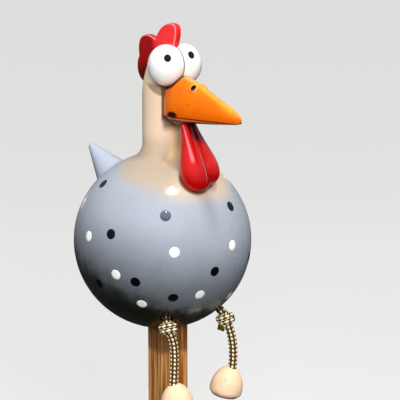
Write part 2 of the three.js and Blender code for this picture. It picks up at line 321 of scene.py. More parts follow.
legs = []
for side, sign, offsets in (("right", -1, right_offsets), ("left", 1, left_offsets)):
    route = [hole_mouths[sign] + Vector(offset) for offset in offsets]
    line, length = evenly(smooth_line(route), ring_spacing)
    piece = braided(f"braided_leg_{side}", line, yarn.material, cord_diameter, leg_dot)
    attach(piece, "root")
    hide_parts(f"leg_cord_{side}")
    legs.append({
        "side": side, "mouth": hole_mouths[sign], "route": route, "line": line, "length": length,
        "cord": piece,
    })


# Leg knots
# A small round knot in each cord, wound from the cord itself and pulled tight right under its hole.
# The brown cut end of the cord sticks out below the left one.
knot_at = 4
knot_radius = 4.8
knot_height = 5.6
knot_turns = 1.85
knot_start = 0.15
knot_widening = 0.12
knot_waver = 0.06
knot_steps = 28
knot_ring_spacing = 0.4
knot_cord = 6.3
knot_dot = (0.85, 0.95)
knot_rise = 0.7
knot_ends = {
    "right": [(2.5, 4.5, 3.5), (3.5, 6, 5)],
    "left": [(-4.6, -2, 4.2), (-6.8, -2.6, 6.4), (-8, -2.8, 7.6)],
}
for leg in legs:
    down = (leg["route"][knot_at + 1] - leg["route"][knot_at - 1]).normalized()
    across = down.cross(Vector((camera_aim.x, camera_aim.y, 0))).normalized()
    away = across.cross(down)
    loops = []
    for i in range(knot_steps + 1):
        share = i / knot_steps
        angle = math.pi * (knot_start + 2 * knot_turns * share)
        out = knot_radius * min(1, share / knot_widening + 0.2) * (1 + knot_waver * math.sin(7 * share))
        loops.append((out * math.cos(angle), out * math.sin(angle), knot_height * (share - 0.5)))
    spots = [
        leg["route"][knot_at] + across * wide + away * deep + down * (low - knot_rise)
        for wide, deep, low in loops + knot_ends[leg["side"]]
    ]
    line = evenly(smooth_line(spots, 6), knot_ring_spacing)[0]
    piece = braided(f"tied_knot_{leg['side']}", line, yarn.material, knot_cord, knot_dot, brown_end=4.5)
    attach(piece, "root")
    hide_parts(f"leg_knot_{leg['side']}")
    leg["knot"] = piece


# Feet
# Small domes of cast resin, painted a matt peach over a pitted surface.
# Each is glued to the end of its cord, in a bore from its top, and hangs free.
foot_width = 28
foot_height = 25.5
foot_bore = 9
foot_sole = 0.68
foot_fall = 0.55
foot_turn = math.radians(-36)
foot_places = {"right": (math.radians(5), 3), "left": (math.radians(-12), -2)}


def turned(profile, steps):
    """A skin turned round Z from [radius, height] points, lowest first."""
    bm = bmesh.new()
    spots = [bm.verts.new((r, 0, z)) for r, z in profile]
    edges = [bm.edges.new(pair) for pair in zip(spots, spots[1:])]
    bmesh.ops.spin(
        bm, geom=spots + edges, cent=(0, 0, 0), axis=(0, 0, 1), angle=2 * math.pi, steps=steps, use_merge=True
    )
    return closed(bm)


peach = Finish("foot_resin", roughness=0.62, specular_ior_level=0.35)
peach_spot = peach.place()
peach_mottle = peach.noise(peach_spot, 6, 4)
peach_pits = peach.add("ShaderNodeTexVoronoi", {}, {"Vector": peach_spot, "Scale": 1 / 2.6}, "Distance")
peach_pit = 1 - peach.ramp(peach_pits + peach.noise(peach_spot, 7) * 0.5, 0.3, 0.42)
peach_paint = peach.mix(peach_mottle, tint(228, 190, 154), tint(242, 213, 180))
# Painted shade darkens the bottom of each foot.
peach_height = peach.add("ShaderNodeAttribute", {"attribute_name": "height"}, {}, "Fac")
peach_base_shade = peach.ramp(peach_height.wander(peach_mottle, 0.1), 0.14, 0.02)
peach_paint = peach.mix(peach_base_shade * 0.7, peach_paint, tint(110, 62, 44))
peach.apply(
    base_color=peach.mix(peach_pit * 0.4, peach_paint, tint(178, 118, 74)),
    roughness=peach.ramp(peach_mottle, 0.3, 0.7, 0.55, 0.7),
    relief=peach.noise(peach_spot, 0.9) * 0.5 + peach_mottle * 0.7 - peach_pit * 0.8,
    depth=0.0007,
)

foot_profile = smooth_line([
    (r * foot_width / 2, z * foot_height) for r, z in (
        (0.78, 0), (0.97, 0.12), (1, 0.28), (0.9, 0.56), (0.62, 0.83), (0.3, 0.965), (0, 1),
    )
], 6)
for leg in legs:
    tilt, aside = foot_places[leg["side"]]
    bm = turned([(0, 0), (foot_sole * foot_width / 2, 0)] + [(p.x, p.y) for p in foot_profile], 48)
    height = bm.verts.layers.float.new("height")
    for v in bm.verts:
        v[height] = v.co.z / foot_height
    entry = foot_height * (1 - foot_fall * (2 * aside / foot_width) ** 2)
    bm.transform(
        Matrix.Translation(leg["route"][-1]) @ Matrix.Rotation(foot_turn, 4, "Z")
        @ Matrix.Rotation(-tilt, 4, "Y") @ Matrix.Translation((aside, 0, foot_bore - entry))
    )
    piece = finished(f"foot_dome_{leg['side']}", bm, peach.material)
    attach(piece, "root")
    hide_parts(f"foot_{leg['side']}")
    to_metres @ leg["line"][0]
    leg["length"] * MM
    [to_metres @ spot for spot in leg["line"]]


# Chicken
# One hollow resin casting: ball of a body, neck, head, two eyes, comb, beak, two wattles and a pointed tail.
# It is sprayed beige and blue-grey, painted by brush on the head and coated with clear lacquer.
neck_radius = 16.6
neck_fillet = 13
neck_top = 120
crown_rise = 39
crown_top = neck_top + crown_rise
cap_tilt = math.radians(17)
cap_axis = (0, -math.sin(cap_tilt), math.cos(cap_tilt))
dot_radius = 4.2
# Each dot's turn aside from straight ahead and its raise, in degrees.
black_dots = [
    (-100.9, 43.9), (-71.2, 13.3), (20.4, 27.8), (-1.8, -10.7), (-54.3, -15.7), (-84.4, -20.6),
    (-29.5, -27.1), (-115.8, -4.0), (40.1, -8.5), (57, 14), (84, 31), (96, -19),
    (128, 6), (-149, 14), (-140, -28), (163, -16), (158, 47), (70, -33),
]
white_dots = [
    (-91.0, 9.3), (-29.3, 3.9), (12.7, 3.9), (-67.5, -11.9), (-52.2, -32.7), (-10.0, -26.4),
    (26.9, -34.5), (64, -8), (77, 10), (106, 8), (121, -27),
    (146, 27), (-128, 22), (-161, -8), (-112, -31), (177, -38),
]
upwards = (0, 0, 1)
forwards = (0, -1, 0)
sideways = (1, 0, 0)
# The way that sets where painted shade and painted highlights lie, and the gloss of the clear lacquer.
shady_way = (0.788, -0.616, 0)
gloss = {"coat_weight": 1.0, "coat_roughness": 0.05, "coat_ior": 1.5, "specular_ior_level": 0.2}
eye_radius = Vector((15.3, 15.3, 17.1))
eye_aside = 8.8
eye_forward = 17.9
eye_below_crown = 10.1
eye_height = crown_top - eye_below_crown
tail_base = 19
tail_raise = math.radians(32.6)
wattle_radius = 11.9
wattle_balls = [(-4.4, -51.6, 59.6), (4.4, -51.6, 63.3)]


def reach_in(finish, spot, middle, radii):
    """How far a place is from the middle of a stretched ball, whose surface is at 1."""
    scale = tuple(1 / radius for radius in radii)
    return finish.distance(finish.stretched(spot, scale), [m * s for m, s in zip(middle, scale)])


def eye_gap(finish, spot):
    """How far a place is from the nearer eye, in millimetres."""
    gaps = []
    for sign in (-1, 1):
        gap = reach_in(finish, spot, (sign * eye_aside, -eye_forward, eye_height), eye_radius)
        gaps.append((gap - 1) * eye_radius.x)
    return finish.math("MINIMUM", *gaps)


body_paint = Finish("body_paint", **{**gloss, "coat_roughness": 0.17})
body_spot = body_paint.place()
body_cloud = body_paint.noise(body_spot, 45, 4)
body_grain = body_paint.noise(body_spot, 1.6, 3, 0.6)
body_way = body_paint.vectors("NORMALIZE", body_spot)
body_high = body_paint.dot(body_spot, upwards)
body_ahead = body_paint.dot(body_spot, forwards)

# The blue-grey spray has fine flecks. Painted shade and reflection darken it in three steps to the bottom.
body_colour = body_paint.mix(body_cloud, tint(144, 152, 165), tint(163, 170, 181))
body_patchy = body_paint.noise(body_spot, 3.2, 5, 0.65)
body_flecks = body_paint.ramp(body_patchy, 0.48, 0.66)
body_colour = body_paint.mix(body_flecks * 0.06, body_colour, tint(118, 116, 118))
body_shady = body_paint.dot(body_spot, shady_way)
body_lower_shade = body_paint.ramp((body_high + body_shady * 0.3).wander(body_cloud, 12), 30, -62)
body_colour = body_paint.mix(body_lower_shade * 0.9, body_colour, tint(63, 65, 66))
body_blotches = body_paint.noise(body_spot, 9, 5, 0.6)
body_bottom_shade = body_paint.ramp((body_high + body_shady * 0.5).wander(body_blotches, 26), -30, -58)
body_colour = body_paint.mix(body_bottom_shade * 0.9, body_colour, tint(18, 21, 14))
body_base_shade = body_paint.ramp((body_high + body_shady * 0.12).wander(body_blotches, 14), -41, -51)
body_colour = body_paint.mix(body_base_shade * 0.9, body_colour, tint(14, 18, 6))

# The beige spray of the neck covers the top of the body too. It is duller at the neck's foot, tan in front.
neck_colour = body_paint.mix(body_cloud, tint(222, 194, 166), tint(236, 211, 186))
neck_low = body_paint.ramp(body_high, 96, 74)
neck_colour = body_paint.mix(neck_low * 0.9, neck_colour, tint(190, 168, 144))
# Painted shade darkens the neck's foot on one side.
neck_base_shade = body_paint.ramp(body_high, 82, 66) * body_paint.ramp(body_shady, 22, 4)
neck_colour = body_paint.mix(neck_base_shade * 0.7, neck_colour, tint(160, 146, 132))
# The front of the neck beside the wattles is tan, painted lighter and warmer there as painted light.
neck_front = body_paint.dot(body_spot, (0.35, -0.94, 0))
neck_tan_and_light = body_paint.ramp(neck_front, 13, 16.4) * body_paint.ramp(body_high, 66, 78)
neck_colour = body_paint.mix(neck_tan_and_light * 0.7, neck_colour, tint(252, 202, 146))
body_rise = body_paint.dot(body_way, cap_axis)
body_beige = body_paint.ramp(body_rise.wander(body_cloud, 0.1), 0.72, 0.87)
body_colour = body_paint.mix(body_beige, body_colour, neck_colour)

# Painted shade darkens the joints of the tail, eyes, beak and wattles, and the neck under the eyes and jaw.
# Painted shade lines the joint of the tail.
tail_axis = direction(math.pi, tail_raise)
tail_cross = body_paint.vectors("CROSS_PRODUCT", body_spot, tail_axis)
tail_aside = body_paint.vectors("LENGTH", tail_cross, output="Value")
tail_joint_shade = body_paint.ramp(tail_aside, tail_base + 1.3, tail_base + 0.2)
tail_joint_shade = tail_joint_shade * body_paint.ramp(body_paint.dot(body_spot, tail_axis), 30, 40)
body_colour = body_paint.mix(tail_joint_shade * 0.75, body_colour, tint(60, 64, 74))
body_eyes = eye_gap(body_paint, body_spot)
# Painted shadow lies on the neck below the eyes.
eye_shade = body_paint.ramp(body_eyes, 9, 7) * body_paint.ramp(body_high, 136, 131)
body_colour = body_paint.mix(eye_shade * 0.75, body_colour, tint(122, 100, 80))
# A dark outline is painted round the eyes, widened by painted shade in the crease.
eye_outline_and_shade = body_paint.ramp(body_eyes.wander(body_cloud, 1.5), 3.2, 0.4)
body_colour = body_paint.mix(eye_outline_and_shade * 0.8, body_colour, tint(92, 52, 34))
# Painted shade lines the neck along the root of the beak.
beak_joint_shade = body_paint.ramp(abs(body_paint.dot(body_spot, sideways)), 10.7, 9.9)
beak_joint_shade = beak_joint_shade * body_paint.ramp(body_ahead, 6, 10)
beak_joint_shade = beak_joint_shade * body_paint.ramp(body_high, 100, 106) * body_paint.ramp(body_high, 148, 140)
body_colour = body_paint.mix(beak_joint_shade * 0.85, body_colour, tint(84, 48, 26))
# Painted shade lies on the chest round the foot of the wattles.
wattle_gap = body_paint.math("MINIMUM", *[body_paint.distance(body_spot, ball) for ball in wattle_balls])
wattle_contact_shade = body_paint.ramp((wattle_gap - wattle_radius).wander(body_cloud, 1.5), 3.4, 0.9)
body_colour = body_paint.mix(wattle_contact_shade * 0.85, body_colour, tint(84, 28, 18))
# Painted shadow lies on the neck under the jaw.
jaw_shade = body_paint.ramp(body_high, 92, 100) * body_paint.ramp(body_high, 112, 106)
jaw_shade = jaw_shade * body_paint.ramp(body_ahead, 12.5, 15)
body_colour = body_paint.mix(jaw_shade * 0.75, body_colour, tint(80, 44, 28))

# The dots are dabs of thick paint. The lacquer is thin on the neck and on the black dots.
painted_dots = 0.0
body_coat = 1 - body_beige * body_paint.ramp(body_high, 60, 80) * 0.75
for dots, colour, clearness in ((black_dots, tint(6, 6, 9), 0.2), (white_dots, tint(252, 252, 250), 1)):
    covered = 0.0
    for aside, raised in dots:
        middle = direction(math.radians(aside), math.radians(raised)) * body_radius
        gap = body_paint.distance(body_spot, middle).wander(body_grain, 0.5)
        covered = covered + body_paint.ramp(gap, dot_radius + 0.25, dot_radius - 0.25)
        painted_dots = painted_dots + body_paint.ramp(gap, dot_radius + 0.4, dot_radius - 1.6)
    body_colour = body_paint.mix(covered, body_colour, colour)
    body_coat = body_coat * (1 - covered * (1 - clearness))
body_paint.apply(
    base_color=body_colour,
    roughness=body_paint.ramp(body_beige, 0, 1, 0.38, 0.5),
    coat_weight=body_coat * body_paint.ramp(body_patchy, 0.4, 0.62, 0.12, 0.9),
    relief=painted_dots + body_grain * 0.04 + body_blotches * 0.5,
    depth=0.0004,
)

# Each pupil's middle and its radii, over the surface of an eye.
pupils = [((-16.2, -29.7, 155.9), (3.0, 3.0, 3.4)), ((6.9, -31.0, 157.5), (2.9, 3.0, 3.6))]

eye_paint = Finish("eye_paint", roughness=0.3, **gloss)
eye_spot = eye_paint.place()
eye_colour = eye_paint.mix(eye_paint.noise(eye_spot, 14), tint(240, 240, 238), tint(252, 252, 250))
eye_coat = 1.0
for middle, radii in pupils:
    pupil = eye_paint.ramp(reach_in(eye_paint, eye_spot, middle, radii), 1.1, 0.9)
    eye_colour = eye_paint.mix(pupil, eye_colour, tint(22, 5, 3))
    eye_coat = eye_coat * (1 - pupil * 0.85)
# Painted shade darkens the crease between the two eyes.
eyes_crease_shade = eye_paint.ramp(abs(eye_paint.dot(eye_spot, sideways)), 0.9, 0.15)
eye_colour = eye_paint.mix(eyes_crease_shade * 0.9, eye_colour, tint(36, 22, 18))
eye_paint.apply(base_color=eye_colour, coat_weight=eye_coat)

mouth_height = crown_top - 51
beak_root = 15
beak_reach = 103
beak_width = 27
beak_height = 32.5
jaw_depth = 8
jaw_short = 5
jaw_inset = 0.5
nostril_aside = 6.5
nostril_reach = 51
nostril_rise = 25
corner_reach = 31
corner_rise = 1.7


def nostril_at(sign):
    return Vector((sign * nostril_aside, -nostril_reach, mouth_height + nostril_rise))


def corner_at(sign):
    return Vector((sign * beak_width / 2, -corner_reach, mouth_height + corner_rise))


# The beak is brushed orange and dark underneath, with painted highlights and painted shade.
corner_flatness = 2.2
brushed = {**gloss, "coat_weight": 0.22, "specular_ior_level": 0.1}
beak_paint = Finish("beak_paint", roughness=0.3, **brushed)
beak_spot = beak_paint.place()
beak_high = beak_paint.dot(beak_spot, upwards) - mouth_height
beak_cloud = beak_paint.noise(beak_spot, 16, 4)
beak_colour = beak_paint.mix(beak_cloud, tint(233, 100, 0), tint(246, 128, 0))
# A painted highlight lies along the crest.
beak_crest_highlight = beak_paint.ramp(abs(beak_paint.dot(beak_spot, sideways)), 5, 2)
beak_crest_highlight = beak_crest_highlight * beak_paint.ramp(beak_high, 2, 8)
beak_colour = beak_paint.mix(beak_crest_highlight * 0.6, beak_colour, tint(255, 176, 60))
beak_stain = beak_paint.noise(beak_paint.stretched(beak_spot, (1, 0.35, 1)), 5, 4, 0.6)
beak_colour = beak_paint.mix(beak_paint.ramp(beak_stain, 0.52, 0.72) * 0.4, beak_colour, tint(206, 78, 0))
beak_low = beak_paint.ramp(beak_high.wander(beak_cloud, 4), 12, -1)
beak_colour = beak_paint.mix(beak_low * 0.6, beak_colour, tint(214, 70, 0))
# Painted shade darkens the root of the beak, where it meets the neck.
beak_rear_shade = beak_paint.ramp(beak_paint.dot(beak_spot, forwards), beak_root + 2.4, beak_root + 0.8)
beak_colour = beak_paint.mix(beak_rear_shade * 0.3, beak_colour, tint(120, 50, 6))
# A painted highlight runs along the lip of the lower beak.
beak_lip_highlight = beak_paint.ramp(beak_high, -0.6, -1)
beak_colour = beak_paint.mix(beak_lip_highlight * 0.9, beak_colour, tint(250, 128, 70))
beak_under = beak_paint.ramp(beak_high, -1.6, -2.6)
beak_colour = beak_paint.mix(beak_under * 0.95, beak_colour, tint(58, 8, 2))
# Painted shade darkens the mouth's gap, the crease at the eyes and the corners of the mouth.
mouth_gap_shade = beak_paint.ramp(abs(beak_high), 0.7, 0.3)
beak_colour = beak_paint.mix(mouth_gap_shade * 0.9, beak_colour, tint(46, 14, 4))
beak_eye_shade = beak_paint.ramp(eye_gap(beak_paint, beak_spot).wander(beak_cloud, 1.5), 3.4, 1.7)
beak_colour = beak_paint.mix(beak_eye_shade * 0.95, beak_colour, tint(40, 16, 6))
# A painted highlight rings each nostril.
for sign in (-1, 1):
    corner_gap = reach_in(beak_paint, beak_spot, corner_at(sign), (1, 1, 1 / corner_flatness))
    mouth_corner_shade = beak_paint.ramp(corner_gap.wander(beak_cloud, 2), 7.4, 5.4)
    beak_colour = beak_paint.mix(mouth_corner_shade * 0.85, beak_colour, tint(64, 20, 4))
    nostril_gap = beak_paint.distance(beak_spot, nostril_at(sign))
    nostril_rim_highlight = beak_paint.ramp(abs(nostril_gap - 3.4), 1.1, 0.3)
    beak_colour = beak_paint.mix(nostril_rim_highlight * 0.35, beak_colour, tint(255, 190, 124))
beak_paint.apply(base_color=beak_colour, relief=beak_paint.noise(beak_spot, 2), depth=0.00006)

# The comb is brushed red, with painted light ahead and on its edges, and painted shade at its low end.
comb_paint = Finish("comb_paint", roughness=0.32, **brushed)
comb_spot = comb_paint.place()
comb_cloud = comb_paint.noise(comb_spot, 12, 4)
comb_colour = comb_paint.mix(comb_cloud, tint(150, 0, 4), tint(182, 4, 10))
# Painted light brightens the front lobe to coral.
comb_ahead = comb_paint.dot(comb_spot, (0, -1, 0.35)).wander(comb_cloud, 6)
comb_colour = comb_paint.mix(comb_paint.ramp(comb_ahead, 46, 58), comb_colour, tint(255, 54, 60))
comb_side = abs(comb_paint.dot(comb_spot, sideways))
# Painted highlights run along the edges, and painted shade darkens the narrow face between them.
comb_edge_highlight = comb_paint.ramp(abs(comb_side - 2.8), 0.4, 0.1)
comb_colour = comb_paint.mix(comb_edge_highlight * 0.6, comb_colour, tint(255, 178, 176))
comb_colour = comb_paint.mix(comb_paint.ramp(comb_side, 2.2, 1.7) * 0.5, comb_colour, tint(150, 10, 16))
# Painted shade darkens the low end of the comb.
comb_low_shade = comb_paint.ramp(comb_paint.dot(comb_spot, upwards), 151, 140)
comb_colour = comb_paint.mix(comb_low_shade * 0.75, comb_colour, tint(60, 6, 6))
comb_paint.apply(base_color=comb_colour, relief=comb_paint.noise(comb_spot, 2.4), depth=0.00008)

# The wattles are glossy red. Places on them are measured from their root under the jaw.
wattle_paint = Finish("wattle_paint", roughness=0.3, **{**gloss, "coat_weight": 0.5})
wattle_spot = wattle_paint.place()
wattle_cloud = wattle_paint.noise(wattle_spot, 14, 4)
wattle_colour = wattle_paint.mix(wattle_cloud, tint(176, 0, 2), tint(214, 8, 4))
wattle_lean = math.radians(20)
wattle_aside = 2
wattle_root = 34.5
wattle_start = wattle_paint.vectors("ADD", wattle_spot, (0, wattle_root, jaw_depth / 2 - mouth_height))
wattle_across = wattle_paint.dot(wattle_start, sideways)
wattle_along = wattle_paint.dot(wattle_start, (0, -math.sin(wattle_lean), -math.cos(wattle_lean)))
wattle_behind = wattle_paint.dot(wattle_start, (0, math.cos(wattle_lean), -math.sin(wattle_lean)))
wattle_right = wattle_paint.dot(wattle_start, shady_way)
# Painted shade darkens the back of each wattle and its tip, where it meets the chest.
wattle_rear_shade = wattle_paint.ramp(wattle_behind, 4.5, 8)
wattle_colour = wattle_paint.mix(wattle_rear_shade * 0.85, wattle_colour, tint(84, 2, 2))
wattle_low = wattle_paint.ramp(wattle_along, 36, 50)
wattle_colour = wattle_paint.mix(wattle_low * 0.5, wattle_colour, tint(138, 0, 2))
wattle_tip_shade = wattle_paint.ramp(wattle_along, 55.5, 59.5)
wattle_colour = wattle_paint.mix(wattle_tip_shade * 0.8, wattle_colour, tint(110, 2, 2))
# A painted shadow of the beak darkens the top of the far wattle.
wattle_top_shadow = wattle_paint.ramp(wattle_right - wattle_along * 0.47, -3.5, -1.5)
wattle_top_shadow = wattle_top_shadow * wattle_paint.ramp(wattle_along, 24, 15)
wattle_colour = wattle_paint.mix(wattle_top_shadow * 0.92, wattle_colour, tint(36, 0, 4))
# A painted highlight runs down the near wattle.
wattle_highlight = abs(wattle_right + 4.2 - wattle_along * 0.255) / (0.2 + wattle_along * 0.06)
wattle_highlight = wattle_paint.ramp(wattle_highlight, 1, 0.3) * wattle_paint.ramp(wattle_along, 38, 32)
wattle_highlight = wattle_highlight * wattle_paint.ramp(wattle_across, 0, -2)
wattle_colour = wattle_paint.mix(wattle_highlight * 0.6, wattle_colour, tint(255, 150, 156))
# A thin painted highlight runs beside the crease between the wattles, and painted shade darkens the crease.
wattle_line_highlight = wattle_paint.ramp(abs(wattle_across + 1.5), 0.6, 0.1)
wattle_line_highlight = wattle_line_highlight * wattle_paint.ramp(wattle_along, 24, 32) * wattle_paint.ramp(wattle_along, 56, 50)
wattle_colour = wattle_paint.mix(wattle_line_highlight * 0.55, wattle_colour, tint(255, 130, 110))
wattle_crease_shade = wattle_paint.ramp(abs(wattle_across), 1.1, 0.3) * wattle_paint.ramp(wattle_along, 22, 32)
wattle_colour = wattle_paint.mix(wattle_crease_shade * 0.85, wattle_colour, tint(80, 0, 2))
wattle_paint.apply(base_color=wattle_colour)

tail_paint = Finish("tail_paint", roughness=0.38, **gloss)
tail_spot = tail_paint.place()
tail_cloud = tail_paint.noise(tail_spot, 20, 4)
tail_colour = tail_paint.mix(tail_cloud, tint(160, 167, 184), tint(178, 186, 202))
# Painted shade darkens the tail's foot, where it meets the body.
tail_edge_shade = tail_paint.ramp(tail_paint.dot(tail_spot, tail_axis), body_radius - 0.8, body_radius - 2)
tail_paint.apply(base_color=tail_paint.mix(tail_edge_shade * 0.7, tail_colour, tint(60, 64, 74)))

# The raised stud is painted blue-grey, and the hollows are painted near-black and mottled as painted shade.
stud_paint = Finish("stud_paint", roughness=0.3, **gloss)
stud_cloud = stud_paint.noise(stud_paint.place(), 2.5)
stud_paint.apply(base_color=stud_paint.mix(stud_cloud, tint(72, 78, 100), tint(96, 102, 124)))

hollow_shade_paint = Finish("hollow_shade_paint", roughness=0.8)
hollow_mottle = hollow_shade_paint.noise(hollow_shade_paint.place(), 1.5, 4)
hollow_colour = hollow_shade_paint.mix(hollow_mottle, tint(16, 12, 9), tint(38, 30, 24))
hollow_shade_paint.apply(base_color=hollow_colour, relief=hollow_mottle, depth=0.0002)


def shares_of(stations):
    """The value at a share of the length, on a smooth line through stations of (share, value)."""
    fine = smooth_line(stations, 20)

    def value(share):
        for a, b in zip(fine, fine[1:]):
            if b.x >= share:
                return a.y + (b.y - a.y) * max(0, min(1, (share - a.x) / (b.x - a.x)))
        return fine[-1].y

    return value


def shaped(bm, material):
    """A shape of the casting, still on its own, with its paint."""
    return finished("shape", bm, material.material)


def arc(middle, radii, start, end, steps):
    """Points of [across, up] on an arc round a middle, from one angle to another."""
    points = []
    for i in range(steps + 1):
        angle = start + (end - start) * i / steps
        points.append((middle[0] + radii[0] * math.cos(angle), middle[1] + radii[1] * math.sin(angle)))
    return points


quarter = math.pi / 2
fillet_x = neck_radius + neck_fillet
fillet_z = math.sqrt((body_radius + neck_fillet) ** 2 - fillet_x ** 2)
meeting = math.atan2(fillet_z, fillet_x)
profile = arc((0, 0), (body_radius, body_radius), -quarter, meeting, 96)
profile += arc((fillet_x, fillet_z), (neck_fillet, neck_fillet), math.pi + meeting, math.pi, 16)[1:]
neck_foot = profile[-1][1]
profile += [(neck_radius, neck_foot + (neck_top - neck_foot) * i / 12) for i in range(1, 13)]
profile += arc((0, neck_top), (neck_radius, crown_rise), 0, quarter, 24)[1:]
profile[0] = (0, -body_radius)
profile[-1] = (0, crown_top)
torso = shaped(turned(profile, 160), body_paint)


def ball(place, radii, around, rings):
    """A ball stretched to three radii and put in its place."""
    bm = bmesh.new()
    bmesh.ops.create_uvsphere(bm, u_segments=around, v_segments=rings, radius=1)
    bm.transform(place @ Matrix.Diagonal((*radii, 1)))
    return bm


added = []
for sign in (-1, 1):
    eye_place = Matrix.Translation((sign * eye_aside, -eye_forward, eye_height))
    added.append(shaped(ball(eye_place, eye_radius, 72, 48), eye_paint))

# Half widths and heights of the upper beak at shares of its length, as shares of the greatest.
upper_half = shares_of([
    (0, 0.76), (0.13, 0.99), (0.3, 0.92), (0.58, 0.64), (0.84, 0.36), (0.96, 0.2), (1, 0.05),
])
ridge = shares_of([(0, 1), (0.16, 1), (0.37, 0.87), (0.66, 0.57), (0.87, 0.36), (0.97, 0.2), (1, 0.08)])
beak_squareness = 2.3
beak_rim = 1.6
rim_rounding = 0.09
beak_belly = 1.2
tip_share = 0.955
tip_lift = 1.8


def wrapped(around, along, place):
    """A sheet rolled into a closed skin: place takes the share of a turn and the share of the length."""
    bm = bmesh.new()
    bmesh.ops.create_grid(bm, x_segments=around, y_segments=along, size=0.5)
    for v in bm.verts:
        v.co = place(v.co.x + 0.5, v.co.y + 0.5)
    return closed(bm)


def upper_place(turn, share):
    """A point of the upper beak. Its tip curls up a little and its rear edge is rounded."""
    angle = 2 * math.pi * turn
    across = math.cos(angle)
    up = math.sin(angle)
    wide = math.copysign(abs(across) ** (2 / beak_squareness), across)
    half = upper_half(share)
    if up > 0:
        tall = up ** (2 / beak_squareness) * beak_height * ridge(share)
    else:
        tall = beak_belly * up * half
    reach = (beak_reach - beak_root) * share
    rounding = 1 - rim_rounding * max(0, 1 - reach / beak_rim) ** 2
    lift = tip_lift * max(0, (share - tip_share) / (1 - tip_share)) ** 2
    return Vector((
        rounding * wide * beak_width * half / 2, -(beak_root + reach), mouth_height + lift + rounding * tall,
    ))


added.append(shaped(wrapped(72, 120, upper_place), beak_paint))

lower_half = shares_of([
    (0, 0.6), (0.12, 0.88), (0.3, 0.9), (0.58, 0.64), (0.84, 0.36), (0.96, 0.18), (1, 0.05),
])
jaw_depths = shares_of([(0, 0.7), (0.16, 1), (0.36, 0.62), (0.7, 0.36), (1, 0.08)])


def lower_place(turn, share):
    """A point of the lower beak, which is shorter and set in under the upper one."""
    angle = 2 * math.pi * turn
    across = math.cos(angle)
    up = math.sin(angle)
    half = max(0.4, beak_width * lower_half(share) / 2 - jaw_inset)
    tall = up if up > 0 else up * jaw_depth * jaw_depths(share)
    reach = (beak_reach - jaw_short - beak_root) * share
    return Vector((across * half, -(beak_root + reach), mouth_height + tall))


added.append(shaped(wrapped(56, 80, lower_place), beak_paint))

# The comb's side outline, with places behind the neck's axis and above its top: a start, then curves to it.
comb_thickness = 7
comb_start = (-19, 40)
comb_curves = [
    ((-22.5, 50), (-25.6, 58.5), (-20.6, 61.8)),
    ((-13, 64.8), (0, 61), (5, 49)),
    ((10, 51), (16, 53), (21, 51.5)),
    ((29, 50), (30, 42), (28.5, 33.5)),
    ((33, 29), (32, 17), (24, 13)),
    ((20, 11), (14, 14), (8, 18)),
]
comb_inside_head = (-8, 30)
comb_bevel = 2.2
outline = [Vector((*comb_start, 0))]
for near, far, end in comb_curves:
    outline += geometry.interpolate_bezier(outline[-1], (*near, 0), (*far, 0), (*end, 0), 15)[1:]
outline.append(Vector((*comb_inside_head, 0)))
bm = bmesh.new()
rim_spots = [bm.verts.new((-comb_thickness / 2, p.x, neck_top + p.y)) for p in outline]
plate = bm.faces.new(rim_spots)
moved = bmesh.ops.extrude_face_region(bm, geom=[plate])["geom"]
far_side = [part for part in moved if isinstance(part, bmesh.types.BMVert)]
bmesh.ops.translate(bm, verts=far_side, vec=(comb_thickness, 0, 0))
flat_edges = [e for e in bm.edges if abs(e.verts[0].co.x - e.verts[1].co.x) < 0.01]
bmesh.ops.bevel(
    bm, geom=flat_edges, offset=comb_bevel, offset_type="OFFSET", affect="EDGES", segments=5, profile=0.5,
    material=-1,
)
bmesh.ops.recalc_face_normals(bm, faces=bm.faces)
added.append(shaped(bm, comb_paint))

# A wattle's radius at shares of its length, then the side, length and lean aside of each.
wattle_drops = [
    (0, 0), (0.34, 0.04), (0.46, 0.17), (0.62, 0.33), (0.82, 0.5), (0.97, 0.66), (1, 0.77), (0.87, 0.89),
    (0.5, 0.97), (0, 1),
]
for sign, length, spread in ((-1, 60.5, math.radians(2.5)), (1, 55.5, math.radians(7))):
    drop = smooth_line([(r * wattle_radius, -s * length) for r, s in reversed(wattle_drops)], 7)
    bm = turned([(max(0, p.x), p.y) for p in drop], 56)
    bm.transform(
        Matrix.Translation((sign * wattle_aside, -wattle_root, mouth_height - jaw_depth / 2))
        @ Matrix.Rotation(-sign * spread, 4, "Y") @ Matrix.Rotation(-wattle_lean, 4, "X")
    )
    added.append(shaped(bm, wattle_paint))


def stood(spot, toward):
    """Stands a shape that is made along +Z on a spot and turns it towards a direction."""
    return Matrix.Translation(spot) @ Vector(upwards).rotation_difference(toward).to_matrix().to_4x4()


tail_length = 53
tail_tip = 3.4
tail_root = 2
tail_sink = body_radius - math.sqrt(body_radius ** 2 - tail_base ** 2) + tail_root
tail_slope = math.atan2(tail_base - tail_tip, tail_length)
tip = arc((0, tail_length - tail_tip), (tail_tip, tail_tip), tail_slope, quarter, 10)
cone = [(0, -tail_sink), (tail_base, -tail_sink)]
cone += [(tail_base + (tip[0][0] - tail_base) * i / 20, tip[0][1] * i / 20) for i in range(21)]
cone += tip[1:-1] + [(0, tail_length)]
bm = turned(cone, 72)
bm.transform(stood(tail_axis * body_radius, tail_axis))
added.append(shaped(bm, tail_paint))

stud_radius = 4.4
stud_height = 1.9
stud_sink = 2
stud_way = direction(math.radians(-34.5), math.radians(26.5))
dome = [(0, -stud_sink), (stud_radius, -stud_sink)]
dome += arc((0, 0), (stud_radius, stud_height), 0, quarter, 10)[:-1] + [(0, stud_height)]
bm = turned(dome, 40)
bm.transform(stood(stud_way * body_radius, stud_way))
added.append(shaped(bm, stud_paint))

